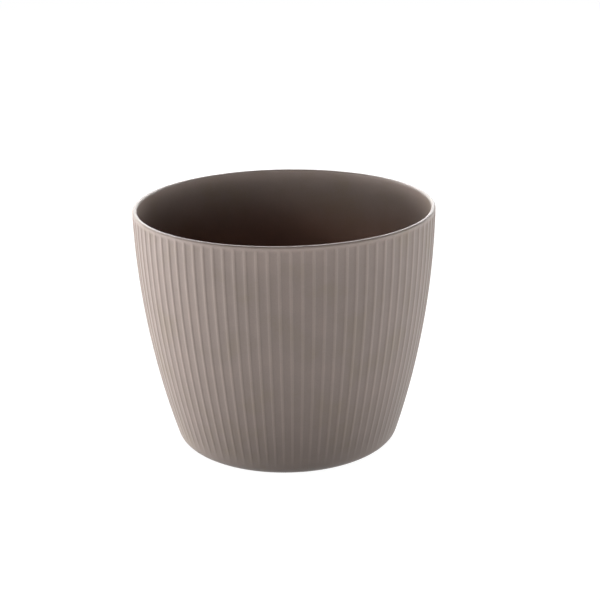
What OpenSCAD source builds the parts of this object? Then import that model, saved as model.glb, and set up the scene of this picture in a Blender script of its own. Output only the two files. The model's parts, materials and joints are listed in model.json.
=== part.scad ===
// Self watering planter. A round ribbed pot holds water in its lower third. A lift-out insert
// stands in it on four legs: a perforated false floor, three wicking baskets, a fill tube with a
// flip-up cap and a float gauge. A bung in the floor drains the pot.
// Millimetres, +Z up, origin in the middle of the foot, -Y is the front.

/* [Pot] */
// Outer radius of the lip
rim_r = 100; // [95:1:110]
// Height of the pot
pot_h = 162.5; // [158:0.5:170]
// Radius of the long curve of the side, seen from the front
side_curve_r = 556; // [500:1:700]
// How far above the lip the side would be widest
belly_rise = 5.6; // [3:0.1:8]
// Radius of the lower corner
corner_r = 9.4; // [7:0.1:12]
// Wall thickness, ribs included
wall_t = 3.1; // [2.6:0.1:3.4]
// Thickness of the pot's floor
floor_t = 2.6; // [2:0.1:4]
// Depth of the recess inside the foot ring
foot_recess = 2; // [1:0.1:3]
// Width of the foot ring
foot_ring_w = 7; // [4:0.5:12]

/* [False floor] */
// Height of the false floor's top face
plate_top = 49; // [45:0.5:52]
// Thickness of the false floor
plate_t = 2.5; // [2:0.1:4]
// Radius of the false floor
plate_r = 81.5; // [80:0.1:82]
// Depth of the skirt under its edge
skirt_h = 3.5; // [2:0.1:5]
// Radius of the aeration holes
air_hole_r = 1.8; // [1:0.1:2.5]
// Distance between the aeration holes
air_hole_pitch = 11; // [9:0.5:16]

/* [Wicking baskets] */
// Distance of the baskets from the middle
cup_place_r = 46; // [44:0.5:48]
// Outer radius of a basket at the false floor
cup_top_r = 17; // [14:0.5:18]
// Outer radius of a basket at its bottom
cup_bottom_r = 13; // [10:0.5:15]
// Wall thickness of a basket
cup_wall_t = 1.6; // [1.2:0.1:2]
// Height of a basket's underside
cup_bottom = 8; // [6.5:0.5:12]
// Slots around a basket
cup_slots = 10; // [6:1:12]

/* [Legs] */
// Distance of the legs from the middle
leg_place_r = 60; // [58:0.5:60]
// Radius of a leg
leg_r = 5.5; // [4.5:0.1:5.5]

/* [Fill tube] */
// Place of the fill tube, to the left
fill_x = -18; // [-20:0.5:-16]
// Place of the fill tube, towards the front
fill_y = -56; // [-57:0.5:-54]
// Outer radius of the fill tube
fill_r = 11; // [9:0.5:12]
// Wall thickness of the fill tube
fill_wall_t = 1.6; // [1.2:0.1:2]
// Height of the fill tube's lower end
fill_bottom = 9; // [8:0.5:14]
// Height of the fill tube's upper end
fill_tube_top = 121; // [110:0.5:122]
// Height of the funnel's rim
funnel_top = 140; // [136:0.5:141]
// Outer radius of the funnel's rim
funnel_r = 17; // [15:0.5:18]
// Radius of the cap's hinge pin
hinge_pin_r = 1.25; // [1:0.05:1.5]

/* [Gauge] */
// Place of the gauge, to the right
gauge_x = 24; // [22:0.5:25]
// Place of the gauge, towards the front
gauge_y = -55; // [-56:0.5:-53]
// Outer radius of the gauge tube
gauge_r = 8.5; // [8:0.1:9]
// Height of the gauge tube's upper end
gauge_tube_top = 112; // [108:0.5:113]
// Height of the clear cap's top
sight_top = 145; // [144:0.5:147]
// Radius of the float
float_r = 10; // [8:0.1:10]
// Height of the float
float_h = 13; // [10:0.5:14]
// How far the float can rise
float_travel = 20; // [10:0.5:20]
// Radius of the float's rod
rod_r = 1.5; // [1:0.1:2]

/* [Drain bung] */
// Radius of the bung
plug_r = 8.9; // [7:0.1:10]
// Outer radius of the bung's flange
plug_flange_r = 14; // [12:0.5:16]
// Height of the bung's pull loop
plug_loop_h = 12; // [9:0.5:14]

/* [Hidden] */

$fn = 96;
// How far shapes that are joined reach into each other, and how far a cut reaches past its piece
eps = 0.01;
cut = 1;

// Colours
taupe = [0.56, 0.50, 0.47];
charcoal = [0.20, 0.20, 0.20];
rubber_black = [0.08, 0.08, 0.08];
steel = [0.70, 0.70, 0.72];
foam_white = [0.90, 0.89, 0.85];
signal_red = [0.75, 0.10, 0.08];
clear = [0.80, 0.85, 0.88, 0.4];

// Side curve: one long arc whose centre lies beyond the axis, a little above the lip
side_cz = pot_h + belly_rise;
side_cx = rim_r - sqrt(side_curve_r * side_curve_r - belly_rise * belly_rise);
floor_top = foot_recess + floor_t;
foot_chamfer = 1;
lip_r = wall_t / 2;

// Fits. A running fit is a pin or shaft in its bore, seat_gap lies under what rests on a stop.
running_gap = 0.05;
push_gap = 0.05;
seat_gap = 0.1;

plug_bore_r = plug_r + running_gap;
plug_end_gap = 0.2;
seal_t = 1.2;
seal_inset = 0.5;
plug_flange_t = 2;
plug_wire_r = 1.6;
plug_loop_share = 0.55;

plate_bottom = plate_top - plate_t;
skirt_t = 1.6;
plate_margin = 5;
hole_web = 1;
cup_angles = [90, 190, 350];
cup_flange_w = 3;
cup_flange_t = 1.6;
cup_hole_gap = 0.3;
cup_slot_w = 2.4;
cup_slot_margin = 5;
cup_drains = 6;
cup_drain_share = 0.55;
leg_angles = [45, 135, 225, 315];
leg_socket_h = 4;
leg_socket_t = 1.3;
leg_socket_sunk = 1;
leg_socket_gap = 0.4;
leg_boss_h = 8.5;
leg_boss_t = 2;
leg_flute_r = 2;
leg_flute_share = 0.4;
leg_flute_low = 3;
leg_flute_high = 2;

collar_w = 3.5;
collar_gap = 0.5;
funnel_wall_t = 1.5;
funnel_rim_h = 6;
funnel_spigot_h = 9;
strainer_seat_h = 1.5;
strainer_t = 1.2;
strainer_hole_r = 1;
strainer_pitch = 3;
cap_t = 2;
cap_r = funnel_r + 0.4;
hinge_off = 20.5;
hinge_y = fill_y - hinge_off;
hinge_z = funnel_top + 1.5;
knuckle_r = 2.8;
knuckle_w = 7.4;
ear_w = 3.2;
ear_gap = 0.3;
ear_drop = 6;
ear_arm_h = 4.5;
ear_lap = 0.4;

gauge_wall_t = 1.5;
gauge_flange_r = 12.5;
gauge_flange_t = 1.5;
gauge_flange_lap = 0.5;
sight_wall_t = 1.05;
sight_r = gauge_r + push_gap + sight_wall_t;
sight_sleeve_h = 7;
cage_gap = 0.8;
cage_wall_t = 1.2;
cage_bottom = 9;
cage_floor_t = 1.4;
clip_t = 1;
clip_w = 2.5;
clip_gap = 0.3;
clip_bottom = cage_bottom + cage_floor_t + clip_gap;
float_bottom = clip_bottom + clip_t;
head_r = 6.2;
head_h = 6;
head_bottom = gauge_tube_top + 2;
head_middle = head_bottom + head_h / 2;
guide_h = 5;

bracket_z = 96;
bracket_h = 6;
bracket_t = 1.8;

// Points of an arc around [cx, cz] from angle a0 to a1
function arc(cx, cz, r, a0, a1, steps) =
    [for (i = [0 : steps]) let (a = a0 + (a1 - a0) * i / steps) [cx + r * cos(a), cz + r * sin(a)]];

// Centre radius of a corner arc of radius r that is tangent to the floor at height base_z and to
// the side curve moved inwards by inset
function corner_cx(r, base_z, inset) =
    side_cx + sqrt(pow(side_curve_r - inset - r, 2) - pow(base_z + r - side_cz, 2));

// Angle at which that corner arc meets the side curve
function corner_end(r, base_z, inset) =
    atan2(base_z + r - side_cz, corner_cx(r, base_z, inset) - side_cx);

// Angle of the side curve at height z, on the curve moved inwards by inset
function side_angle(z, inset) = asin((z - side_cz) / (side_curve_r - inset));

module ring(r_out, r_in, z0, h) {
    translate([0, 0, z0])
        difference() {
            cylinder(r = r_out, h = h);
            translate([0, 0, -eps]) cylinder(r = r_in, h = h + 2 * eps);
        }
}

// A round hole of radius r through everything between z0 and z1
module round_cut(r, z0, z1, facets = $fn) {
    translate([0, 0, z0 - cut]) cylinder(r = r, h = z1 - z0 + 2 * cut, $fn = facets);
}

module at_polar(r, angle) {
    translate([r * cos(angle), r * sin(angle), 0]) children();
}

module at_fill() {
    translate([fill_x, fill_y, 0]) children();
}

module at_gauge() {
    translate([gauge_x, gauge_y, 0]) children();
}

// ---- Pot ----

module pot_outline() {
    inner_corner_r = corner_r - wall_t;
    outer_cx = corner_cx(corner_r, 0, 0);
    outer_end = corner_end(corner_r, 0, 0);
    inner_cx = corner_cx(inner_corner_r, floor_top, wall_t);
    inner_end = corner_end(inner_corner_r, floor_top, wall_t);
    lip_z = pot_h - lip_r;
    top_angle = side_angle(lip_z, 0);
    top_angle_in = side_angle(lip_z, wall_t);
    lip_cx = side_cx + (side_curve_r - lip_r) * cos(top_angle);
    polygon(concat(
        [
            [plug_bore_r, foot_recess],
            [outer_cx - foot_ring_w, foot_recess],
            [outer_cx - foot_ring_w + foot_chamfer, 0]
        ],
        arc(outer_cx, corner_r, corner_r, -90, outer_end, 10),
        arc(side_cx, side_cz, side_curve_r, outer_end, top_angle, 24),
        arc(lip_cx, lip_z, lip_r, 0, 180, 12),
        arc(side_cx, side_cz, side_curve_r - wall_t, top_angle_in, inner_end, 24),
        arc(inner_cx, floor_top + inner_corner_r, inner_corner_r, inner_end, -90, 8),
        [[plug_bore_r, floor_top]]
    ));
}

module outer_pot() {
    color(taupe) {
        rotate_extrude() pot_outline();
        for (angle = leg_angles)
            at_polar(leg_place_r, angle) leg_socket();
    }
}

// Low ring on the pot's floor that a leg drops into
module leg_socket() {
    inner_r = leg_r + leg_socket_gap;
    ring(inner_r + leg_socket_t, inner_r, floor_top - leg_socket_sunk, leg_socket_h + leg_socket_sunk);
}

// ---- Drain bung ----

module drain_plug() {
    flange_z = floor_top + seal_t;
    loop_z = flange_z + plug_flange_t;
    color(charcoal) {
        translate([0, 0, foot_recess + plug_end_gap]) cylinder(r = plug_r, h = flange_z - foot_recess);
        translate([0, 0, flange_z]) cylinder(r = plug_flange_r, h = plug_flange_t);
        translate([0, 0, loop_z]) pull_loop();
    }
}

// Upright half ring on two short stems
module pull_loop() {
    loop_r = plug_loop_h * plug_loop_share;
    stem_h = plug_loop_h - loop_r - plug_wire_r;
    translate([0, 0, stem_h])
        rotate([90, 0, 0])
            rotate_extrude(angle = 180) translate([loop_r, 0]) circle(r = plug_wire_r, $fn = 32);
    for (side = [-1, 1])
        translate([side * loop_r, 0, -eps]) cylinder(r = plug_wire_r, h = stem_h + eps, $fn = 32);
}

module plug_seal_ring() {
    color(rubber_black) ring(plug_flange_r - seal_inset, plug_r, floor_top, seal_t);
}

// ---- False floor, baskets and legs ----

// Everything that passes through the false floor, as [x, y, radius to keep clear]
plate_obstacles = concat(
    [for (a = cup_angles) [cup_place_r * cos(a), cup_place_r * sin(a), cup_top_r + cup_flange_w]],
    [for (a = leg_angles) [leg_place_r * cos(a), leg_place_r * sin(a), leg_r + leg_boss_t]],
    [[fill_x, fill_y, fill_r + collar_w + collar_gap], [gauge_x, gauge_y, gauge_flange_r]]
);

function is_free(x, y) =
    norm([x, y]) < plate_r - plate_margin
    && min([for (o = plate_obstacles) norm([x - o[0], y - o[1]]) - o[2]]) > air_hole_r + hole_web;

// Rows of holes in a triangular grid, wherever nothing else passes through
module air_holes() {
    rows = ceil(plate_r / air_hole_pitch / cos(30));
    columns = ceil(plate_r / air_hole_pitch) + 1;
    for (row = [-rows : rows], column = [-columns : columns]) {
        x = (column + (row % 2 == 0 ? 0 : 0.5)) * air_hole_pitch;
        y = row * air_hole_pitch * cos(30);
        if (is_free(x, y))
            translate([x, y, 0]) round_cut(air_hole_r, plate_bottom, plate_top, 20);
    }
}

module separator_plate() {
    boss_z = plate_bottom - leg_boss_h;
    color(charcoal)
        difference() {
            union() {
                translate([0, 0, plate_bottom]) cylinder(r = plate_r, h = plate_t);
                ring(plate_r, plate_r - skirt_t, plate_bottom - skirt_h, skirt_h + eps);
                for (angle = leg_angles)
                    at_polar(leg_place_r, angle)
                        ring(leg_r + leg_boss_t, leg_r + push_gap, boss_z, leg_boss_h + eps);
            }
            air_holes();
            for (angle = cup_angles)
                at_polar(cup_place_r, angle) round_cut(cup_top_r + cup_hole_gap, plate_bottom, plate_top);
            at_fill() round_cut(fill_r + push_gap, plate_bottom, plate_top);
            at_gauge() round_cut(gauge_r + push_gap, plate_bottom, plate_top);
        }
}

module basket() {
    slot_z = cup_bottom + cup_slot_margin;
    slot_h = plate_bottom - slot_z - cup_slot_margin;
    difference() {
        rotate_extrude() polygon([
            [0, cup_bottom],
            [cup_bottom_r, cup_bottom],
            [cup_top_r, plate_top],
            [cup_top_r + cup_flange_w, plate_top],
            [cup_top_r + cup_flange_w, plate_top + cup_flange_t],
            [cup_top_r - cup_wall_t, plate_top + cup_flange_t],
            [cup_bottom_r - cup_wall_t, cup_bottom + cup_wall_t],
            [0, cup_bottom + cup_wall_t]
        ]);
        for (i = [0 : cup_slots - 1])
            rotate([0, 0, 360 * i / cup_slots])
                translate([cup_bottom_r / 2, -cup_slot_w / 2, slot_z]) cube([cup_top_r, cup_slot_w, slot_h]);
        for (i = [0 : cup_drains - 1])
            at_polar(cup_bottom_r * cup_drain_share, 360 * i / cup_drains)
                round_cut(air_hole_r, cup_bottom, cup_bottom + cup_wall_t, 20);
    }
}

module wicking_cup(i) {
    color(charcoal) at_polar(cup_place_r, cup_angles[i]) basket();
}

module support_leg(i) {
    flute_z = floor_top + leg_socket_h + leg_flute_low;
    flute_h = plate_bottom - leg_boss_h - leg_flute_high - flute_z;
    color(charcoal)
        at_polar(leg_place_r, leg_angles[i])
            difference() {
                translate([0, 0, floor_top]) cylinder(r = leg_r, h = plate_bottom - floor_top);
                for (k = [0 : 3])
                    at_polar(leg_r + leg_flute_r * leg_flute_share, 45 + 90 * k)
                        translate([0, 0, flute_z]) cylinder(r = leg_flute_r, h = flute_h, $fn = 32);
            }
}

// ---- Fill tube ----

module fill_tube() {
    notch_w = 7;
    notch_h = 9;
    color(charcoal)
        at_fill()
            difference() {
                ring(fill_r, fill_r - fill_wall_t, fill_bottom, fill_tube_top - fill_bottom);
                for (k = [0 : 2])
                    rotate([0, 0, 30 + 120 * k])
                        translate([0, -notch_w / 2, fill_bottom - cut])
                            cube([fill_r + cut, notch_w, notch_h + cut]);
            }
}

module tube_collar() {
    collar_h = 5;
    chamfer = 1.5;
    inner_r = fill_r + push_gap;
    color(charcoal)
        at_fill()
            rotate_extrude() polygon([
                [inner_r, plate_top],
                [inner_r + collar_w, plate_top],
                [inner_r + collar_w, plate_top + collar_h - chamfer],
                [inner_r + collar_w - chamfer, plate_top + collar_h],
                [inner_r, plate_top + collar_h]
            ]);
}

module fill_funnel() {
    spigot_r = fill_r - fill_wall_t - push_gap;
    rim_z = funnel_top - funnel_rim_h;
    color(charcoal)
        difference() {
            union() {
                at_fill()
                    rotate_extrude() polygon([
                        [spigot_r - funnel_wall_t, fill_tube_top - funnel_spigot_h],
                        [spigot_r, fill_tube_top - funnel_spigot_h],
                        [spigot_r, fill_tube_top],
                        [fill_r, fill_tube_top],
                        [funnel_r, rim_z],
                        [funnel_r, funnel_top],
                        [funnel_r - funnel_wall_t, funnel_top],
                        [funnel_r - funnel_wall_t, rim_z],
                        [spigot_r, fill_tube_top + strainer_seat_h],
                        [spigot_r - funnel_wall_t, fill_tube_top + strainer_seat_h]
                    ]);
                for (side = [-1, 1]) hinge_ear(side);
            }
            translate([fill_x - knuckle_w, hinge_y, hinge_z])
                rotate([0, 90, 0]) cylinder(r = hinge_pin_r, h = 2 * knuckle_w, $fn = 32);
        }
}

// Ear of the cap's hinge, on one side of the knuckle
module hinge_ear(side) {
    x0 = fill_x + side * (knuckle_w / 2 + ear_gap + ear_w / 2) - ear_w / 2;
    reach = hinge_off - funnel_r + funnel_wall_t + ear_lap;
    translate([x0, hinge_y, hinge_z]) rotate([0, 90, 0]) cylinder(r = knuckle_r, h = ear_w, $fn = 48);
    translate([x0, hinge_y - knuckle_r, hinge_z - ear_drop]) cube([ear_w, knuckle_r * 2, ear_drop]);
    translate([x0, hinge_y, hinge_z - ear_drop]) cube([ear_w, reach, ear_arm_h]);
}

module funnel_strainer() {
    disc_z = fill_tube_top + strainer_seat_h;
    disc_r = fill_r - fill_wall_t - push_gap - seat_gap;
    color(charcoal)
        at_fill()
            difference() {
                translate([0, 0, disc_z]) cylinder(r = disc_r, h = strainer_t);
                for (ring_i = [0 : 2], k = [0 : max(0, 6 * ring_i - 1)])
                    at_polar(strainer_pitch * ring_i, 360 * k / max(1, 6 * ring_i))
                        round_cut(strainer_hole_r, disc_z, disc_z + strainer_t, 16);
            }
}

module cap_hinge_pin() {
    half = knuckle_w / 2 + ear_gap + ear_w;
    color(steel)
        translate([fill_x - half, hinge_y, hinge_z])
            rotate([0, 90, 0]) cylinder(r = hinge_pin_r, h = 2 * half, $fn = 32);
}

module fill_cap() {
    disc_z = funnel_top + seat_gap;
    notch_y = hinge_off - 4.4;
    notch_w = 20;
    crown_h = 1.2;
    crown_low_r = cap_r - 2;
    crown_top_r = cap_r - 5;
    tab_w = 12;
    tab_l = 4;
    tab_lap = 1.5;
    spigot_r = funnel_r - funnel_wall_t - 2;
    spigot_h = 1.5;
    arm_w = knuckle_w - 1;
    arm_l = hinge_off - notch_y + 1;
    color(charcoal)
        difference() {
            union() {
                at_fill() {
                    difference() {
                        translate([0, 0, disc_z]) cylinder(r = cap_r, h = cap_t);
                        translate([-notch_w / 2, -cap_r - cut, disc_z - cut])
                            cube([notch_w, cap_r + cut - notch_y, cap_t + 2 * cut]);
                    }
                    translate([0, 0, disc_z + cap_t - eps])
                        cylinder(r1 = crown_low_r, r2 = crown_top_r, h = crown_h);
                    translate([0, 0, disc_z - spigot_h]) cylinder(r = spigot_r, h = spigot_h + eps);
                    translate([-tab_w / 2, cap_r - tab_lap, disc_z]) cube([tab_w, tab_l + tab_lap, cap_t]);
                }
                translate([fill_x - arm_w / 2, hinge_y, disc_z]) cube([arm_w, arm_l, cap_t]);
                translate([fill_x - knuckle_w / 2, hinge_y, hinge_z])
                    rotate([0, 90, 0]) cylinder(r = knuckle_r, h = knuckle_w, $fn = 48);
            }
            translate([fill_x - knuckle_w, hinge_y, hinge_z])
                rotate([0, 90, 0]) cylinder(r = hinge_pin_r + running_gap, h = 2 * knuckle_w, $fn = 32);
        }
}

// ---- Float gauge ----

module gauge_tube() {
    color(charcoal)
        at_gauge() {
            ring(gauge_r, gauge_r - gauge_wall_t, plate_bottom, gauge_tube_top - plate_bottom);
            ring(gauge_flange_r, gauge_r - gauge_flange_lap, plate_top, gauge_flange_t);
        }
}

module float_cage() {
    outer_r = float_r + cage_gap + cage_wall_t;
    slots = 8;
    slot_w = 3;
    slot_z = cage_bottom + cage_floor_t + 2;
    slot_h = plate_bottom - slot_z - 4;
    slot_reach = 5;
    floor_inset = 0.5;
    floor_hole_r = 3;
    drains = 6;
    drain_r = 1.5;
    drain_share = 0.65;
    color(charcoal)
        at_gauge()
            difference() {
                union() {
                    ring(outer_r, outer_r - cage_wall_t, cage_bottom, plate_bottom - cage_bottom);
                    ring(outer_r - floor_inset, floor_hole_r, cage_bottom, cage_floor_t);
                }
                for (k = [0 : slots - 1])
                    rotate([0, 0, 360 * k / slots])
                        translate([float_r, -slot_w / 2, slot_z]) cube([slot_reach, slot_w, slot_h]);
                for (k = [0 : drains - 1])
                    at_polar(float_r * drain_share, 360 * k / drains)
                        round_cut(drain_r, cage_bottom, cage_bottom + cage_floor_t, 20);
            }
}

module rod_guide() {
    color(foam_white)
        at_gauge()
            ring(gauge_r - gauge_wall_t - push_gap, rod_r + running_gap, gauge_tube_top - guide_h, guide_h);
}

module gauge_scale() {
    strip_r = gauge_r - gauge_wall_t + 0.5;
    strip_t = 0.6;
    strip_h = sight_top - 4.5 - gauge_tube_top;
    mark_h = 1;
    mark_t = 0.4;
    mark_proud = 0.3;
    marks = 3;
    mark_step = float_travel / (marks - 1);
    spread = 110;
    color(foam_white)
        at_gauge()
            rotate([0, 0, 270 - spread / 2]) {
                rotate_extrude(angle = spread)
                    translate([strip_r - strip_t, gauge_tube_top]) square([strip_t, strip_h]);
                for (m = [0 : marks - 1])
                    rotate_extrude(angle = spread)
                        translate([strip_r - strip_t - mark_proud, head_middle - mark_h / 2 + m * mark_step])
                            square([mark_t, mark_h]);
            }
}

module sight_cap() {
    dome_h = 3;
    top_t = 2;
    inner_bevel = 2;
    inner_top_r = gauge_r - 0.9;
    color(clear)
        at_gauge()
            rotate_extrude() polygon(concat(
                [
                    [gauge_r + push_gap, gauge_tube_top - sight_sleeve_h],
                    [sight_r, gauge_tube_top - sight_sleeve_h],
                    [sight_r, sight_top - dome_h]
                ],
                arc(sight_r - dome_h, sight_top - dome_h, dome_h, 15, 90, 5),
                [
                    [0, sight_top],
                    [0, sight_top - top_t],
                    [inner_top_r - inner_bevel, sight_top - top_t],
                    [inner_top_r, sight_top - top_t - inner_bevel],
                    [inner_top_r, gauge_tube_top + push_gap],
                    [gauge_r + push_gap, gauge_tube_top + push_gap]
                ]
            ));
}

// Two rings and a web that tie the fill tube to the gauge tube
module tube_bracket() {
    span = norm([gauge_x - fill_x, gauge_y - fill_y]);
    turn = atan2(gauge_y - fill_y, gauge_x - fill_x);
    color(charcoal)
        difference() {
            union() {
                at_fill() translate([0, 0, bracket_z]) cylinder(r = fill_r + bracket_t, h = bracket_h);
                at_gauge() translate([0, 0, bracket_z]) cylinder(r = gauge_r + bracket_t, h = bracket_h);
                at_fill()
                    rotate([0, 0, turn])
                        translate([0, -bracket_t, bracket_z]) cube([span, 2 * bracket_t, bracket_h]);
            }
            at_fill() round_cut(fill_r + push_gap, bracket_z, bracket_z + bracket_h);
            at_gauge() round_cut(gauge_r + push_gap, bracket_z, bracket_z + bracket_h);
        }
}

module float_body() {
    bevel = 1.5;
    color(foam_white)
        at_gauge()
            rotate_extrude() polygon([
                [rod_r, float_bottom],
                [float_r - bevel, float_bottom],
                [float_r, float_bottom + bevel],
                [float_r, float_bottom + float_h - bevel],
                [float_r - bevel, float_bottom + float_h],
                [rod_r, float_bottom + float_h]
            ]);
}

module float_rod() {
    color(foam_white)
        at_gauge()
            translate([0, 0, clip_bottom]) cylinder(r = rod_r, h = head_middle - clip_bottom, $fn = 48);
}

module rod_clip() {
    color(steel) at_gauge() ring(rod_r + clip_w, rod_r, clip_bottom, clip_t);
}

module indicator_head() {
    edge = 1.2;
    top = head_bottom + head_h;
    color(signal_red)
        at_gauge()
            rotate_extrude() polygon([
                [rod_r, head_bottom],
                [head_r - edge, head_bottom],
                [head_r, head_bottom + edge],
                [head_r, top - edge],
                [head_r - edge, top],
                [0, top],
                [0, head_middle],
                [rod_r, head_middle]
            ]);
}

outer_pot();
drain_plug();
plug_seal_ring();
separator_plate();
for (i = [0 : 2]) wicking_cup(i);
for (i = [0 : 3]) support_leg(i);
fill_tube();
tube_collar();
fill_funnel();
funnel_strainer();
cap_hinge_pin();
fill_cap();
gauge_tube();
float_cage();
rod_guide();
gauge_scale();
sight_cap();
tube_bracket();
float_body();
float_rod();
rod_clip();
indicator_head();
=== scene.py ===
# %% [markdown]
# # A self watering planter
# The object is a round moulded pot, taupe outside and in, with ninety fine upright ribs. Its lower
# third holds water. Inside stands a lift-out insert in dark plastic: a perforated floor, three
# wicking baskets, a fill tube and a float gauge.
# The construction arrives as a fixed frame, with every piece at its real size. This lesson gives
# the pieces their finish, models the ribbed shell as a mesh, and sets up light and camera.

# %% Load the frame
import json
import math

import bpy
import numpy as np
from mathutils import Matrix, Vector


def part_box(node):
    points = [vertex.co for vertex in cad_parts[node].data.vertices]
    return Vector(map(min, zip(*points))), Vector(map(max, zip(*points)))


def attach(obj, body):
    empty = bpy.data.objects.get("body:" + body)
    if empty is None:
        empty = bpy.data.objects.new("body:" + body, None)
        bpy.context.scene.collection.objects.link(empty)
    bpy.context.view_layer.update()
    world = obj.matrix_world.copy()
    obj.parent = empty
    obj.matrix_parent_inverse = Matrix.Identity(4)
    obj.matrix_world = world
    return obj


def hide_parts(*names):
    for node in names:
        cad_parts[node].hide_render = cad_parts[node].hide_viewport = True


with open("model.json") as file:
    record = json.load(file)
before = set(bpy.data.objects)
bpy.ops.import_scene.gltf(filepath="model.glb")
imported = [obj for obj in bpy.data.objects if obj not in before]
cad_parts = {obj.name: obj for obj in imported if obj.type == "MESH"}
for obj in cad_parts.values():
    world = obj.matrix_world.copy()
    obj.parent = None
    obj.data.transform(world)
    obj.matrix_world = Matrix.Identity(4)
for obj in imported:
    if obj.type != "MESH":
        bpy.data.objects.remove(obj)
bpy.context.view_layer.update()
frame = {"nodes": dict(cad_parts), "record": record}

MM = 0.001
nodes = frame["nodes"]
print("nodes:", len(nodes))

# %% [markdown]
# ## Measures of the pot
# The frame gives the pot's outer size. The rest of its outline follows from a few rules that a
# mould maker would use: one long curve for the side, a small rounded corner, a foot ring, and a
# wall of even thickness that ends in a fully rounded lip.

# %% Measures
pot_low, pot_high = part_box("outer_pot")
rim_r = (pot_high.x - pot_low.x) / 2
pot_h = pot_high.z - pot_low.z

SIDE_CURVE_R = 556 * MM       # radius of the long curve of the side
BELLY_RISE = 5.6 * MM         # how far above the lip that curve would be widest
CORNER_R = 9.4 * MM           # lower corner
WALL = 3.1 * MM               # wall thickness at a rib
FLOOR_T = 2.6 * MM
FOOT_RECESS = 2 * MM
FOOT_RING_W = 7 * MM
FOOT_CHAMFER = 1 * MM
BORE_R = 8.95 * MM            # the drain bung's bore

floor_top = FOOT_RECESS + FLOOR_T
lip_r = WALL / 2
lip_z = pot_h - lip_r
side_cz = pot_h + BELLY_RISE
side_cx = rim_r - math.sqrt(SIDE_CURVE_R**2 - BELLY_RISE**2)
print(f"lip radius {rim_r / MM:.1f} mm, height {pot_h / MM:.1f} mm")

# %% [markdown]
# ## The outline
# A turned shape is easiest to reason about as a half section. Each round stretch is an arc, made
# by one function, so the outline holds only the points that its shape needs.
# `corner` works out where a corner arc has to sit to run smoothly into the side curve.


# %% Outline helpers
def arc(cx, cz, r, start, end, steps):
    """Points of an arc around (cx, cz), from angle start to angle end, in degrees."""
    angles = np.radians(np.linspace(start, end, steps + 1))
    return [(cx + r * math.cos(a), cz + r * math.sin(a)) for a in angles]


def corner(r, base_z, inset):
    """Centre radius of a corner arc and the angle at which it meets the side curve."""
    reach = SIDE_CURVE_R - inset - r
    cx = side_cx + math.sqrt(reach**2 - (base_z + r - side_cz) ** 2)
    return cx, math.degrees(math.atan2(base_z + r - side_cz, cx - side_cx))


def side_angle(z, inset):
    """Angle on the side curve, moved inwards by inset, at height z."""
    return math.degrees(math.asin((z - side_cz) / (SIDE_CURVE_R - inset)))


foot_cx, foot_end = corner(CORNER_R, 0, 0)
print(f"foot's flat radius {foot_cx / MM:.1f} mm, corner ends at {foot_end:.1f} degrees")

# %% [markdown]
# ## The section of a rib
# On the real pot the ribs are part of the mould, so they have true edges that catch light. A bump
# map would lose them at the silhouette, so they are modelled.
# The outside is a grid of points: columns that go round the pot and rows that climb it. Each rib
# takes ten columns, placed where its section bends. Widths are shares of the pitch, which is the
# distance from one rib to the next.

# %% Rib section
RIBS = 90
RIB_BASE = 0.37        # width of a rib at its foot
RIB_CREST = 0.21       # width of its rounded crest
BEND = 0.25            # where a flank bends, as a share of the flank from either end
CREST_COLUMN = 0.6     # where the crest's two columns stand, as a share of the crest's half
GROUND_COLUMN = 0.36   # the column on the ground, beside the one halfway between two ribs

rib_half = RIB_BASE / 2
crest_half = RIB_CREST / 2
flank = rib_half - crest_half
right_columns = [crest_half * CREST_COLUMN, crest_half + BEND * flank, rib_half - BEND * flank, rib_half]
left_columns = [-c for c in reversed(right_columns)]
rib_columns = [-0.5] + left_columns + right_columns + [GROUND_COLUMN]


def smooth(t):
    """0 below 0, 1 above 1, and a smooth step between."""
    t = min(max(t, 0.0), 1.0)
    return t * t * (3 - 2 * t)


def rib_section(u):
    """Height of the surface above the ground between the ribs, from 0 to 1, at share u of the pitch."""
    return smooth((rib_half - abs(u)) / flank)


print(f"rib pitch {2 * math.pi * rim_r / RIBS / MM:.2f} mm, {len(rib_columns)} columns in each rib")

# %% [markdown]
# ## How the ribs run out
# A milled groove gets shallower where the cutter leaves the steel. So the grooves fade out under a
# plain band at the lip and again above the foot, and between them they get slowly shallower
# towards the foot. One function of the height says all of that.

# %% Depth of the grooves
RIB_H = 0.38 * MM             # how far a rib stands out at the lip
LIP_BAND = 2.2 * MM           # plain band between the lip's top and the ribs
LIP_FADE = 1.6 * MM           # height over which a rib rises out of that band
FOOT_SHARE = 0.35             # height of a rib at the foot, as a share of its height at the lip
FOOT_PLAIN = 2 * MM           # plain band above the foot
FOOT_FADE = 18 * MM


def groove_depth(z):
    """How far the ground between the ribs lies below their crests, at height z."""
    top = smooth((pot_h - LIP_BAND - z) / LIP_FADE)
    foot = smooth((z - FOOT_PLAIN) / FOOT_FADE)
    return RIB_H * (FOOT_SHARE + (1 - FOOT_SHARE) * z / pot_h) * top * foot


print(f"groove depth half way up: {groove_depth(pot_h / 2) / MM:.2f} mm")

# %% [markdown]
# ## Columns of the shell
# Only the outside needs all the rib columns. Everywhere else two columns for each rib are enough,
# and they stand on two of the rib columns, so that the fine grid and the coarse grid line up.

# %% Columns
PITCH = 2 * math.pi / RIBS
FINE_PER_COARSE = len(rib_columns) // 2

coarse_angles = [PITCH * (k + rib_columns[c]) for k in range(RIBS) for c in (0, FINE_PER_COARSE)]
fine_angles = [PITCH * (k + c) for k in range(RIBS) for c in rib_columns]
print("columns:", len(coarse_angles), "coarse,", len(fine_angles), "fine")

# %% [markdown]
# ## Rows and faces
# A turned mesh is rows of points, one above the other, with quads between two neighbours. A small
# class keeps the points and the faces, and joins rows. Where a coarse row meets a fine one, it
# makes a strip of triangles, so the shell stays closed.


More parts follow.
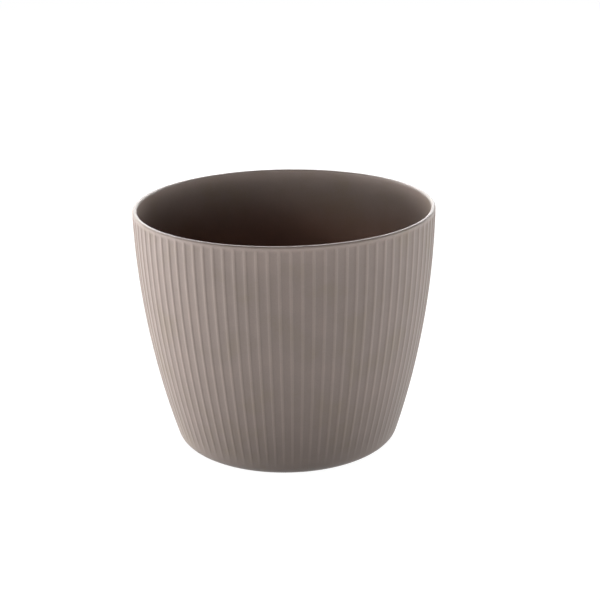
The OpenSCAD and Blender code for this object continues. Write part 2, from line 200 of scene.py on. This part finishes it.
# %% Shell class
class Shell:
    """Collects rows of points and the faces between them."""

    def __init__(self):
        self.points = []
        self.faces = []
        self.inside_from = 0     # number of the first face that lies inside the pot

    def row(self, angles, r, z, place=(0, 0)):
        """Adds one row round an axis at place. r is a radius, or a function of the column's number."""
        start = len(self.points)
        for i, a in enumerate(angles):
            radius = r(i) if callable(r) else r
            self.points.append((place[0] + radius * math.cos(a), place[1] + radius * math.sin(a), z))
        return list(range(start, start + len(angles)))

    def join(self, low, high):
        """Quads between two rows of the same length."""
        n = len(low)
        for i in range(n):
            j = (i + 1) % n
            self.faces.append((low[i], low[j], high[j], high[i]))

    def plain_rows(self, outline, last=None):
        """Coarse rows through an outline's points, joined to one another and to the row before."""
        for r, z in outline:
            row = self.row(coarse_angles, r, z)
            if last is not None:
                self.join(last, row)
            last = row
        return last

    def step(self, coarse, fine, fine_above):
        """Triangles between a coarse row and a fine row."""
        n = len(coarse)
        half = FINE_PER_COARSE // 2
        for i in range(n):
            j = (i + 1) % n
            part = [fine[(i * FINE_PER_COARSE + k) % len(fine)] for k in range(FINE_PER_COARSE + 1)]
            fans = [(coarse[i], part[k], part[k + 1]) for k in range(half)]
            fans.append((coarse[i], part[half], coarse[j]))
            fans += [(coarse[j], part[k], part[k + 1]) for k in range(half, FINE_PER_COARSE)]
            for fan in fans:
                self.faces.append(fan if not fine_above else fan[::-1])


print("helper ready:", Shell.__name__)

# %% [markdown]
# ## The outline in four stretches
# The underside has a recess, so that the pot stands on a ring and doesn't rock. The outside follows
# the corner and the long side curve. The lip is half a circle across the wall. The inside follows
# the same curves, moved inwards by the wall's thickness, down to the floor and back to the bore.

# %% Stretches of the outline
CORNER_STEPS = 10
PLAIN_CORNER_POINTS = 3       # corner points that are still plain, without ribs
SIDE_STEPS = 52
CLOSE_STEPS = 4               # steps of the side that give way to closer rows, where the ribs run out
CLOSE_ROWS = 8
LIP_STEPS = 14
INSIDE_STEPS = 36
INSIDE_CORNER_STEPS = 8
FLOOR_STEPS = 5

top_angle = side_angle(lip_z, 0)
corner_points = arc(foot_cx, CORNER_R, CORNER_R, -90, foot_end, CORNER_STEPS)


def underside():
    """From the rim of the bore, across the recess and over the foot ring into the corner."""
    ring_inner_r = foot_cx - FOOT_RING_W
    flat = [(BORE_R, floor_top), (BORE_R, FOOT_RECESS), (ring_inner_r, FOOT_RECESS)]
    return flat + [(ring_inner_r + FOOT_CHAMFER, 0)] + corner_points[:PLAIN_CORNER_POINTS]


def outside():
    """From the corner to the plain band under the lip."""
    side = arc(side_cx, side_cz, SIDE_CURVE_R, foot_end, top_angle, SIDE_STEPS)
    rows = corner_points[PLAIN_CORNER_POINTS:] + side[1:-CLOSE_STEPS]
    close_from = rows[-1][1]
    for z in np.linspace(close_from, pot_h - LIP_BAND, CLOSE_ROWS + 1)[1:]:
        turn = math.radians(side_angle(z, 0))
        rows.append((side_cx + SIDE_CURVE_R * math.cos(turn), z))
    return rows


def lip():
    """Half a circle over the top of the wall."""
    lip_cx = side_cx + (SIDE_CURVE_R - lip_r) * math.cos(math.radians(top_angle))
    return arc(lip_cx, lip_z, lip_r, 0, 180, LIP_STEPS)


def inside():
    """From the lip down the inner wall and across the floor to the bore."""
    inner_r = CORNER_R - WALL
    inner_cx, inner_end = corner(inner_r, floor_top, WALL)
    rows = arc(side_cx, side_cz, SIDE_CURVE_R - WALL, side_angle(lip_z, WALL), inner_end, INSIDE_STEPS)
    rows += arc(inner_cx, floor_top + inner_r, inner_r, inner_end, -90, INSIDE_CORNER_STEPS)[1:]
    rows += [(r, floor_top) for r in np.linspace(inner_cx, BORE_R, FLOOR_STEPS + 1)[1:-1]]
    return rows


for stretch in (underside, outside, lip, inside):
    print(stretch.__name__, "has", len(stretch()), "rows")

# %% [markdown]
# ## Building the shell
# Now the stretches become rows. In a row of the outside, each column stands back from the crest
# line by its share of the groove's depth. The last row joins the first, which closes the shell: a
# closed shell has a real wall, so its lip and its shadows come out right.


# %% Build the shell
def build_shell():
    """The whole pot, from the bore round the outside and the inside and back."""
    shell = Shell()
    heights = [rib_section(c) for c in rib_columns]
    last = shell.plain_rows(underside())
    for number, (r, z) in enumerate(outside()):
        depth = groove_depth(z)
        row = shell.row(fine_angles, lambda i: r - depth * (1 - heights[i % len(heights)]), z)
        if number == 0:
            shell.step(last, row, fine_above=True)
        else:
            shell.join(last, row)
        last = row
    lip_points = lip()
    first_of_lip = shell.plain_rows(lip_points[:1])
    shell.step(first_of_lip, last, fine_above=False)
    last = shell.plain_rows(lip_points[1:], first_of_lip)
    shell.inside_from = len(shell.faces)
    last = shell.plain_rows(inside(), last)
    shell.join(last, list(range(len(coarse_angles))))
    return shell


shell = build_shell()
print("shell:", len(shell.points), "points,", len(shell.faces), "faces")

# %% [markdown]
# ## Leg sockets
# Four low rings stand on the pot's floor and take the legs of the insert. They were moulded with the
# pot, so they are part of its shell. Each is a small turned ring with a softened top edge, made with
# the same rows as the shell, but round an axis of its own.

# %% Leg sockets
LEG_ANGLES = (45, 135, 225, 315)
SOCKET_PLACE_R = 60 * MM
SOCKET_INNER_R = 5.9 * MM
SOCKET_WALL = 1.3 * MM
SOCKET_H = 4 * MM
SOCKET_SUNK = 1 * MM
SOCKET_ROUND = 0.4 * MM
SOCKET_ROUND_STEPS = 4
SOCKET_SIDES = 48


def add_socket(shell, angle):
    """One ring, turned round its own axis, with its foot sunk in the floor."""
    turn = math.radians(angle)
    place = (SOCKET_PLACE_R * math.cos(turn), SOCKET_PLACE_R * math.sin(turn))
    outer_r = SOCKET_INNER_R + SOCKET_WALL
    low = floor_top - SOCKET_SUNK
    round_z = floor_top + SOCKET_H - SOCKET_ROUND
    outline = [(SOCKET_INNER_R, low), (outer_r, low)]
    outline += arc(outer_r - SOCKET_ROUND, round_z, SOCKET_ROUND, 0, 90, SOCKET_ROUND_STEPS)
    outline += arc(SOCKET_INNER_R + SOCKET_ROUND, round_z, SOCKET_ROUND, 90, 180, SOCKET_ROUND_STEPS)
    angles = [2 * math.pi * k / SOCKET_SIDES for k in range(SOCKET_SIDES)]
    rows = [shell.row(angles, r, z, place) for r, z in outline]
    for low_row, high_row in zip(rows, rows[1:] + rows[:1]):
        shell.join(low_row, high_row)


for leg_angle in LEG_ANGLES:
    add_socket(shell, leg_angle)
print("leg sockets:", len(LEG_ANGLES))

# %% [markdown]
# ## From rows to an object
# The points and faces become a mesh object. It is shaded smooth, except at true edges, which are
# those where two faces meet at a steep angle. It takes the place of the frame's plain pot, and
# belongs to the same body, so it stays put when the insert is lifted out of it.

# %% The pot as an object
TRUE_EDGE = math.radians(50)

mesh = bpy.data.meshes.new("pot_shell")
mesh.from_pydata(shell.points, [], shell.faces)
mesh.validate()
pot_shell = bpy.data.objects.new("pot_shell", mesh)
bpy.context.scene.collection.objects.link(pot_shell)
mesh.shade_smooth()
mesh.set_sharp_from_angle(angle=TRUE_EDGE)
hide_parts("outer_pot")
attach(pot_shell, "pot")
print("pot_shell:", len(mesh.vertices), "points,", len(mesh.polygons), "faces")

# %% [markdown]
# ## Helpers for materials
# A shader is a small network of nodes. Every node is added the same way: its kind, its settings
# and what is linked into it. Colours are written as hex values, as a paint chart gives them, and
# one function turns them into the linear numbers that a renderer calculates with.


# %% Colours and nodes
def linear(hex_colour):
    """An sRGB hex colour as linear RGBA."""
    def channel(value):
        return value / 12.92 if value <= 0.04045 else ((value + 0.055) / 1.055) ** 2.4
    parts = [int(hex_colour[i:i + 2], 16) / 255 for i in (1, 3, 5)]
    return (*[channel(p) for p in parts], 1.0)


def add_node(tree, kind, settings=None, links=None):
    """Adds a shader node. A setting is an attribute of the node or else one of its sockets."""
    node = tree.nodes.new("ShaderNode" + kind)
    for name, value in (settings or {}).items():
        if isinstance(name, str) and hasattr(node, name):
            setattr(node, name, value)
        else:
            node.inputs[name].default_value = value
    for name, source in (links or {}).items():
        tree.links.new(source, node.inputs[name])
    return node


def new_material(name):
    """A material with only a Principled shader, and that shader."""
    material = bpy.data.materials.new(name)
    material.use_nodes = True
    tree = material.node_tree
    tree.nodes.clear()
    shader = add_node(tree, "BsdfPrincipled")
    output = add_node(tree, "OutputMaterial")
    tree.links.new(shader.outputs["BSDF"], output.inputs["Surface"])
    return material, tree, shader


print("a mid grey in linear light:", round(linear("#808080")[0], 3))

# %% [markdown]
# ## Patterns
# Nearly every finish here is a noise that steers something: a tint, a gloss or a bump. So each of
# those has a small function of its own. A pattern is laid in the piece's own space, where a noise of
# scale 1 has grains a metre across, which is why `per_mm` turns a grain size into a scale.


# %% Pattern helpers
def per_mm(size_mm):
    """The scale of a noise whose grains are size_mm across."""
    return 1000 / size_mm


def own_space(tree):
    """Coordinates that stay with the piece."""
    return add_node(tree, "TexCoord").outputs["Object"]


def noise(tree, place, size_mm, detail, roughness=0.5):
    """A noise with grains size_mm across."""
    settings = {"Scale": per_mm(size_mm), "Detail": detail, "Roughness": roughness}
    return add_node(tree, "TexNoise", settings, {"Vector": place}).outputs["Fac"]


def ramp(tree, factor, stops):
    """A colour ramp through (place, hex colour) stops."""
    node = add_node(tree, "ValToRGB", links={"Fac": factor})
    elements = node.color_ramp.elements
    while len(elements) < len(stops):
        elements.new(0.5)
    for element, (place, colour) in zip(elements, stops):
        element.position = place
        element.color = linear(colour)
    return node.outputs["Color"]


def multiplied(tree, colour, tint, share):
    """The colour multiplied by a hex tint, as far as share says."""
    node = add_node(tree, "Mix", {"data_type": "RGBA", "blend_type": "MULTIPLY", 7: linear(tint)},
                    {0: share, 6: colour})
    return node.outputs[2]


def between(tree, value, start, end):
    """0 where value is at start, 1 where it is at end, and a smooth step between."""
    settings = {"interpolation_type": "SMOOTHSTEP", "From Min": start, "From Max": end}
    return add_node(tree, "MapRange", settings, {"Value": value}).outputs["Result"]


def set_gloss(tree, shader, pattern, low, high, pattern_low=0.0, pattern_high=1.0):
    """Lets a pattern move the shader's roughness between low and high."""
    settings = {"From Min": pattern_low, "From Max": pattern_high, "To Min": low, "To Max": high}
    node = add_node(tree, "MapRange", settings, {"Value": pattern})
    tree.links.new(node.outputs["Result"], shader.inputs["Roughness"])


def bumped(tree, pattern, depth_mm, strength=1.0, over=None):
    """A bump from a pattern, on top of another bump if one is given."""
    links = {"Height": pattern}
    if over is not None:
        links["Normal"] = over
    settings = {"Strength": strength, "Distance": depth_mm * MM}
    return add_node(tree, "Bump", settings, links).outputs["Normal"]


print("scale of a 0.5 mm grain:", per_mm(0.5))

# %% [markdown]
# ## Grained plastic
# The moulded pieces share one build. Pigment never mixes quite evenly, so large clouds and small
# specks of it steer the colour. The clouds also move the gloss a little. The surface has two bumps:
# the grain that the mould was given, and the faint waviness of a wall that shrank as it cooled.

# %% Grained plastic
CLOUD_MM = 24                 # size of the clouds of pigment
SPECK_MM = 0.9
SPECK_SHARE = 0.35            # how much the specks count against the clouds
WAVE_MM = 38                  # length of the wall's waviness
TINT_STOPS = (0.36, 0.5, 0.64)
GLOSS_RANGE = (0.3, 0.7)      # the part of a cloud's range over which the gloss changes


def grained_plastic(name, tints, roughness, grain_mm, grain_depth_mm, ior=1.5, waviness_mm=0.02):
    """Moulded plastic. tints are its dark, middle and light colours, roughness is low and high."""
    material, tree, shader = new_material(name)
    place = own_space(tree)
    clouds = noise(tree, place, CLOUD_MM, detail=3.0, roughness=0.55)
    specks = noise(tree, place, SPECK_MM, detail=2.0, roughness=0.6)
    blend = add_node(tree, "Mix", {"data_type": "FLOAT", 0: SPECK_SHARE}, {2: clouds, 3: specks})
    colour = ramp(tree, blend.outputs[0], list(zip(TINT_STOPS, tints)))
    tree.links.new(colour, shader.inputs["Base Color"])
    set_gloss(tree, shader, clouds, *roughness, *GLOSS_RANGE)
    wavy = bumped(tree, noise(tree, place, WAVE_MM, detail=1.0), waviness_mm)
    grainy = bumped(tree, noise(tree, place, grain_mm, detail=2.0), grain_depth_mm, over=wavy)
    tree.links.new(grainy, shader.inputs["Normal"])
    shader.inputs["IOR"].default_value = ior
    return material, tree, shader


print("pigment clouds of", CLOUD_MM, "mm and specks of", SPECK_MM, "mm")

# %% [markdown]
# ## Taupe polypropylene
# The pot is injection-moulded polypropylene, coloured right through. It leaves a mould with a fine
# spark-eroded grain, so it looks satin: soft broad highlights, no mirror image, and a slightly
# milky edge where the eye meets it at a shallow angle.
# Between fine ribs less light gets in, so the grooves are given painted shade, a shade darker than the
# crests. The finish knows where the grooves are from the angle round the pot.

# %% Taupe polypropylene
TAUPE = dict(tints=("#8c7e73", "#8f817a", "#94857d"), roughness=(0.43, 0.48),
             grain_mm=0.45, grain_depth_mm=0.012, ior=1.49, waviness_mm=0.006)
GROOVE_SHADE_TINT = "#edecec"       # painted shade: what the ground between the ribs keeps of the colour


def groove_shade_share(tree):
    """Share of painted shade: 1 on the ground between two ribs, and 0 on a crest, on the lip band and at
    the foot.
    """
    axes = add_node(tree, "SeparateXYZ", links={"Vector": own_space(tree)}).outputs
    turn = add_node(tree, "Math", {"operation": "ARCTAN2"}, {0: axes["Y"], 1: axes["X"]})
    pitches = add_node(tree, "Math", {"operation": "MULTIPLY", 1: 1 / PITCH}, {0: turn.outputs["Value"]})
    off_crest = add_node(tree, "Math", {"operation": "PINGPONG", 1: 0.5}, {0: pitches.outputs["Value"]})
    share = between(tree, off_crest.outputs["Value"], crest_half, rib_half)
    groove_top = pot_h - LIP_BAND
    under_lip = between(tree, axes["Z"], groove_top, groove_top - LIP_FADE)
    above_foot = between(tree, axes["Z"], FOOT_PLAIN, FOOT_PLAIN + FOOT_FADE)
    for limit in (under_lip, above_foot):
        both = add_node(tree, "Math", {"operation": "MULTIPLY"}, {0: share, 1: limit})
        share = both.outputs["Value"]
    return share


taupe_outside, tree, shader = grained_plastic("moulded_polypropylene_taupe", **TAUPE)
bare = shader.inputs["Base Color"].links[0].from_socket
# painted shade in the grooves, darker than the crests
groove_shaded = multiplied(tree, bare, GROOVE_SHADE_TINT, groove_shade_share(tree))
tree.links.new(groove_shaded, shader.inputs["Base Color"])
print("finish:", taupe_outside.name, "with", len(tree.nodes), "shader nodes")

# %% [markdown]
# ## The inside of the pot
# It is the same plastic. Further down inside the pot the wall gets less light, so the same finish is
# given
# painted shade there: one more tint makes it darker and browner with depth. Which faces lie inside is
# known from the order in which the shell was built.

# %% Taupe polypropylene of the inside
SHADE_STARTS_DEPTH = 8 * MM          # depth below the lip where the painted shade begins
FULL_SHADE_DEPTH = 55 * MM        # depth from which the painted shade is at its full
INNER_SHADE_TINT = "#f3d0bd"      # painted shade: what the deep inside keeps of the colour at the lip

taupe_inside, tree, shader = grained_plastic("moulded_polypropylene_taupe_inside", **TAUPE)
unshaded_inside = shader.inputs["Base Color"].links[0].from_socket
height = add_node(tree, "SeparateXYZ", links={"Vector": own_space(tree)}).outputs["Z"]
inner_shade_share = between(tree, height, pot_h - SHADE_STARTS_DEPTH, pot_h - FULL_SHADE_DEPTH)
# painted shade: the inside darker and browner with depth
tree.links.new(multiplied(tree, unshaded_inside, INNER_SHADE_TINT, inner_shade_share), shader.inputs["Base Color"])

pot_shell.data.materials.append(taupe_outside)
pot_shell.data.materials.append(taupe_inside)
for polygon in pot_shell.data.polygons[shell.inside_from:]:
    polygon.material_index = 1
print("faces inside the pot:", len(pot_shell.data.polygons) - shell.inside_from)

# %% [markdown]
# ## Charcoal polypropylene
# The insert never shows in a planted pot, so makers mould it from recycled polypropylene, which
# comes out charcoal with faint flecks. It is a little coarser than the pot's plastic and duller.

# %% Charcoal polypropylene
charcoal_polypropylene, tree, shader = grained_plastic(
    "recycled_polypropylene_charcoal", tints=("#2a2a2b", "#303031", "#3b3b3a"),
    roughness=(0.40, 0.55), grain_mm=0.5, grain_depth_mm=0.015, ior=1.49)
print("finish:", charcoal_polypropylene.name)

# %% [markdown]
# ## White acetal
# The rod, its guide and the scale are acetal, a hard white plastic that slides well. Light enters
# it a little before it comes back, so a touch of subsurface scattering keeps it from looking painted.

# %% White acetal
white_acetal, tree, shader = grained_plastic(
    "machined_acetal_white", tints=("#dcd9cf", "#e3e0d7", "#e9e7df"),
    roughness=(0.30, 0.40), grain_mm=0.7, grain_depth_mm=0.006, ior=1.48)
shader.inputs["Subsurface Weight"].default_value = 0.05
print("finish:", white_acetal.name)

# %% [markdown]
# ## Red marker
# The gauge's moving marker has to be seen through a clear cap, so it is a bright red and glossy
# plastic. Its roughness is low, and its grain is hardly there.

# %% Red marker plastic
red_abs, tree, shader = grained_plastic(
    "moulded_abs_red", tints=("#b01d16", "#ba2019", "#c3271f"),
    roughness=(0.18, 0.24), grain_mm=1.2, grain_depth_mm=0.003, ior=1.54)
print("finish:", red_abs.name)

# %% [markdown]
# ## Foam of the float
# The float is cut from closed-cell foam. Its surface is a field of tiny cut bubbles, which is what
# a Voronoi pattern draws: every cell gets a pit, painted darker as shade, with paler rims, and nothing
# on it shines.

# %% Closed-cell foam
FOAM_CELL_MM = 0.9
FOAM_PIT_MM = 0.12
FOAM_PIT_SHADE_TINTS = [(0.0, "#c9c5b8"), (0.35, "#dedacf"), (0.9, "#ece9e0")]

float_foam, tree, shader = new_material("closed_cell_foam_white")
cells = add_node(tree, "TexVoronoi", {"Scale": per_mm(FOAM_CELL_MM)}, {"Vector": own_space(tree)})
# painted shade: each pit is darker towards its bottom
tree.links.new(ramp(tree, cells.outputs["Distance"], FOAM_PIT_SHADE_TINTS), shader.inputs["Base Color"])
pits = bumped(tree, cells.outputs["Distance"], FOAM_PIT_MM, strength=0.8)
tree.links.new(pits, shader.inputs["Normal"])
shader.inputs["Roughness"].default_value = 0.85
print("finish:", float_foam.name)

# %% [markdown]
# ## Rubber of the seal
# The washer under the bung is black nitrile rubber. Old rubber blooms: a greyish haze in patches.
# One noise draws both the bloom and a very shallow unevenness of the skin.

# %% Nitrile rubber
BLOOM_MM = 6
RUBBER_TINTS = [(0.35, "#161616"), (0.7, "#262524")]

seal_rubber, tree, shader = new_material("moulded_nitrile_rubber_black")
bloom = noise(tree, own_space(tree), BLOOM_MM, detail=4.0)
tree.links.new(ramp(tree, bloom, RUBBER_TINTS), shader.inputs["Base Color"])
tree.links.new(bumped(tree, bloom, 0.02, strength=0.5), shader.inputs["Normal"])
shader.inputs["Roughness"].default_value = 0.7
print("finish:", seal_rubber.name)

# %% [markdown]
# ## Drawn stainless steel
# The hinge pin and the rod's clip are steel wire and strip. Drawing leaves fine lines along the
# length, so the noise is stretched: slow along one axis and fast across it.

# %% Stainless steel
DRAWN_LINES = (20, 900, 900)  # scale along the wire and across it
STEEL_TINTS = [(0.3, "#a9aaac"), (0.7, "#c9cacb")]

pin_steel, tree, shader = new_material("drawn_stainless_steel")
lines = add_node(tree, "Mapping", {"Scale": DRAWN_LINES}, {"Vector": own_space(tree)})
drawn = add_node(tree, "TexNoise", {"Scale": 6.0, "Detail": 3.0}, {"Vector": lines.outputs["Vector"]})
tree.links.new(ramp(tree, drawn.outputs["Fac"], STEEL_TINTS), shader.inputs["Base Color"])
set_gloss(tree, shader, drawn.outputs["Fac"], 0.22, 0.4)
shader.inputs["Metallic"].default_value = 1.0
print("finish:", pin_steel.name)

# %% [markdown]
# ## Clear polycarbonate
# The gauge's cap is a clear moulding. Light passes through and bends, so it needs transmission and
# polycarbonate's high index of refraction. Faint rub marks keep its highlights from being perfect.

# %% Clear polycarbonate
HAZE_MM = 5
CLEAR_TINTS = [(0.3, "#eef3f4"), (0.7, "#f8fbfb")]

clear_polycarbonate, tree, shader = new_material("moulded_polycarbonate_clear")
haze = noise(tree, own_space(tree), HAZE_MM, detail=4.0)
tree.links.new(ramp(tree, haze, CLEAR_TINTS), shader.inputs["Base Color"])
set_gloss(tree, shader, haze, 0.04, 0.14)
shader.inputs["IOR"].default_value = 1.585
shader.inputs["Transmission Weight"].default_value = 1.0
print("finish:", clear_polycarbonate.name)

# %% [markdown]
# ## Dressing the pieces
# The frame's own pieces keep their shape. The record names a material slot for each, such as
# insert_plastic, and a small table says which finish a slot gets. So a finish is changed in one
# place, for all the pieces that share it.

# %% Finish for each slot
finish_of = {
    "pot_plastic": taupe_outside,
    "insert_plastic": charcoal_polypropylene,
    "white_plastic": white_acetal,
    "indicator_red": red_abs,
    "float_foam": float_foam,
    "seal_rubber": seal_rubber,
    "pin_steel": pin_steel,
    "clear_plastic": clear_polycarbonate,
}
slot_of = {part["node"]: part["material_slot"] for part in frame["record"]["subparts"]}
for name, piece in nodes.items():
    piece.data.materials.clear()
    piece.data.materials.append(finish_of[slot_of[name]])
for slot in finish_of:
    print(slot, "on", sum(1 for name in nodes if slot_of[name] == slot), "pieces")

# %% [markdown]
# ## Softened edges
# A mould's corners are never quite sharp, and the small radius is what makes an edge glint. Welding
# joins the points that the frame keeps apart along an edge, and a narrow bevel then rounds it. Both
# are modifiers, so the pieces themselves stay as the frame gives them.

# %% Soften the edges
EDGE_R = 0.22 * MM
EDGE_SEGMENTS = 2
WELD_GAP = 0.001 * MM
SHARP = math.radians(40)


def soften_edges(piece):
    """Rounds the sharp edges of a piece of the frame with modifiers only."""
    weld = piece.modifiers.new("weld", "WELD")
    weld.merge_threshold = WELD_GAP
    bevel = piece.modifiers.new("soft_edges", "BEVEL")
    bevel.width = EDGE_R
    bevel.segments = EDGE_SEGMENTS
    bevel.limit_method = "ANGLE"
    bevel.angle_limit = SHARP
    bevel.harden_normals = True
    bevel.use_clamp_overlap = True


inner_names = [name for name in nodes if name != "outer_pot"]
for name in inner_names:
    soften_edges(nodes[name])
print("pieces with softened edges:", len(inner_names))

# %% [markdown]
# ## Floor
# The pot stands on white studio paper that glows a little, so the paper comes out plain white with
# hardly a shadow. It is drawn for the eye and for reflections. It is left out of the bounced light
# and stops no light, because the surround lights the pot from below as well.

# %% Floor
FLOOR_HALF = 6.0
FLOOR_GAP = 0.2 * MM          # the paper lies this far under the pot, so their faces don't fight
CORNERS = ((-1, -1), (1, -1), (1, 1), (-1, 1))

floor_mesh = bpy.data.meshes.new("studio_floor")
floor_mesh.from_pydata([(x * FLOOR_HALF, y * FLOOR_HALF, 0) for x, y in CORNERS], [], [(0, 1, 2, 3)])
floor = bpy.data.objects.new("studio_floor", floor_mesh)
bpy.context.scene.collection.objects.link(floor)
studio_paper, tree, shader = new_material("matt_studio_paper")
shader.inputs["Base Color"].default_value = linear("#6a6a6a")
shader.inputs["Roughness"].default_value = 0.9
shader.inputs["Specular IOR Level"].default_value = 0.0
shader.inputs["Emission Color"].default_value = linear("#ffffff")
shader.inputs["Emission Strength"].default_value = 0.985
floor_mesh.materials.append(studio_paper)
floor.visible_diffuse = False
floor.visible_shadow = False
floor.location.z = pot_low.z - FLOOR_GAP
print("floor:", 2 * FLOOR_HALF, "m across")

# %% [markdown]
# ## Surround
# A white studio sweep is brightest where paper and wall meet, near the horizon, and dark overhead.
# That band of light is what fades into the mouth of the pot: it reaches only a little way down the
# far wall, and the bottom stays dark. The eye itself sees plain white behind the pot.

# %% Surround
HORIZON_GLOW = 8.0
# Grey from straight below (0) over the horizon (0.5) to straight above (1)
SWEEP = [(0.0, "#686868"), (0.49, "#686868"), (0.5, "#ffffff"), (0.513, "#ffffff"), (0.526, "#d0d0d0"),
         (0.54, "#909090"), (0.578, "#6c6c6c"), (0.612, "#404040"), (0.65, "#000000"), (1.0, "#000000")]

world = bpy.data.worlds.new("studio_surround")
bpy.context.scene.world = world
world.use_nodes = True
tree = world.node_tree
tree.nodes.clear()
way = add_node(tree, "TexCoord").outputs["Generated"]
height = add_node(tree, "SeparateXYZ", links={"Vector": way}).outputs["Z"]
share = add_node(tree, "MapRange", {"From Min": -1.0, "From Max": 1.0}, {"Value": height})
sky = ramp(tree, share.outputs["Result"], SWEEP)
glow = add_node(tree, "Background", {"Strength": HORIZON_GLOW}, {"Color": sky}).outputs["Background"]
plain = add_node(tree, "Background", {"Color": (1, 1, 1, 1), "Strength": 1.0}).outputs["Background"]
seen = add_node(tree, "LightPath").outputs["Is Camera Ray"]
mixed = add_node(tree, "MixShader", links={0: seen, 1: glow, 2: plain})
add_node(tree, "OutputWorld", links={"Surface": mixed.outputs["Shader"]})
print("surround:", len(SWEEP), "greys from below to above")

# %% [markdown]
# ## Soft boxes
# A wide box behind the pot draws the bright line along the far lip. On the left, boxes beside and
# behind the pot turn its side from light to dark across the ribs, and one above them reaches over
# the lip to the inner wall. On the right two weak ones keep the shadow side from going flat. A
# small lamp above the camera puts a soft gleam on the near lip.

# %% Soft boxes
LIGHT_REACH = 2.0
pot_middle = Vector((0, 0, pot_h / 2))


def soft_box(name, power, azimuth, elevation, width=0.9, height=0.9):
    """An area light facing the pot. Azimuth 0 is in front, and a positive one is to the right."""
    turn, lift = math.radians(azimuth), math.radians(elevation)
    way = Vector((math.sin(turn) * math.cos(lift), -math.cos(turn) * math.cos(lift), math.sin(lift)))
    light = bpy.data.lights.new(name, "AREA")
    light.shape = "RECTANGLE"
    light.size, light.size_y = width, height
    light.energy = power
    lamp = bpy.data.objects.new(name, light)
    bpy.context.scene.collection.objects.link(lamp)
    lamp.location = pot_middle + LIGHT_REACH * way
    lamp.rotation_euler = (-way).to_track_quat("-Z", "Y").to_euler()
    print(f"{name}: {power} W")
    return lamp


soft_box("soft_box_back", 62, -176, 30, 2.4, 0.7)
soft_box("soft_box_left", 8, -88, 0, 0.6, 0.5)
soft_box("soft_box_over_left", 7.5, -70, 24, 0.9, 0.5)
left_edge = soft_box("soft_box_left_edge", 52, -120, 0, 1.6, 0.5)
left_edge.visible_glossy = False   # at this shallow angle its mirror image would burn out the ribs
soft_box("soft_box_right", 2, 92, 0, 0.6, 0.5)
soft_box("soft_box_right_bounce", 2.5, 100, -4, 1.2, 0.5)
soft_box("spot_above_camera", 0.8, -3, 50, 0.16, 0.1)

# %% [markdown]
# ## A light for the insert
# The bottom of the pot is dark, as the eye expects when it looks in from the side. From above one
# looks for the insert, so a box overhead is linked to the insert's pieces: it lights them alone.

# %% Light for the insert
insert_pieces = bpy.data.collections.new("insert_pieces")
for name in inner_names:
    insert_pieces.objects.link(nodes[name])
overhead = soft_box("soft_box_insert", 16, 20, 78)
overhead.light_linking.receiver_collection = insert_pieces

# %% [markdown]
# ## Black cards
# In a studio, black card around an object keeps stray light off it. A round card under the paper
# stops the glow from below, near the pot only, so the side darkens softly to the foot. An upright
# card in front, as high as the lip, shades the front: the ribs are then lit from both sides and
# show their flanks, while light still passes over the card into the mouth.

# %% Black cards
UNDER_R = 160 * MM
UNDER_SIDES = 64
UNDER_GAP = 1 * MM            # how far under the paper the round card lies
FRONT_GAP = 320 * MM
FRONT_HALF = 230 * MM

matt_black_card, tree, shader = new_material("matt_black_card")
shader.inputs["Base Color"].default_value = (0, 0, 0, 1)
shader.inputs["Specular IOR Level"].default_value = 0.0


def black_card(name, outline):
    """A flat card through the outline's points, which only stops light and is never seen."""
    card_mesh = bpy.data.meshes.new(name)
    card_mesh.from_pydata(outline, [], [range(len(outline))])
    card_mesh.materials.append(matt_black_card)
    card = bpy.data.objects.new(name, card_mesh)
    bpy.context.scene.collection.objects.link(card)
    card.visible_camera = False
    card.visible_glossy = False
    print(name, "with", len(outline), "corners")


under_z = floor.location.z - UNDER_GAP
front_y = -rim_r - FRONT_GAP
turns = [2 * math.pi * k / UNDER_SIDES for k in range(UNDER_SIDES)]
sides = ((-FRONT_HALF, under_z), (FRONT_HALF, under_z), (FRONT_HALF, pot_h), (-FRONT_HALF, pot_h))
black_card("black_card_under", [(UNDER_R * math.cos(t), UNDER_R * math.sin(t), under_z) for t in turns])
black_card("black_card_front", [(x, front_y, z) for x, z in sides])

# %% [markdown]
# ## Camera
# A short telephoto at about nine times the lip's radius, looking down by some fifteen degrees, so
# the mouth shows as a flat ellipse and the far wall just shows inside it. It is held a little
# crooked, by less than one degree.

# %% Camera
VIEW_DISTANCE = 9 * rim_r            # from the middle of the lip
VIEW_ELEVATION = math.radians(14.84)
AIM = Vector((9.7, 0, 95.1)) * MM    # the point of the pot's middle plane in the middle of the picture
ROLL = math.radians(-0.85)

lens = bpy.data.cameras.new("view_camera")
lens.sensor_width = 36
lens.lens = 81.4
camera = bpy.data.objects.new("view_camera", lens)
bpy.context.scene.collection.objects.link(camera)
lip_middle = Vector((0, 0, pot_h))
view_way = Vector((0, -math.cos(VIEW_ELEVATION), math.sin(VIEW_ELEVATION)))
camera.location = lip_middle + VIEW_DISTANCE * view_way
looking = (AIM - camera.location).to_track_quat("-Z", "Y")
camera.rotation_euler = (looking.to_matrix() @ Matrix.Rotation(ROLL, 3, "Z")).to_euler()
bpy.context.scene.camera = camera
bpy.context.scene.view_settings.view_transform = "Standard"
print("camera at", [round(c / MM) for c in camera.location], "mm")
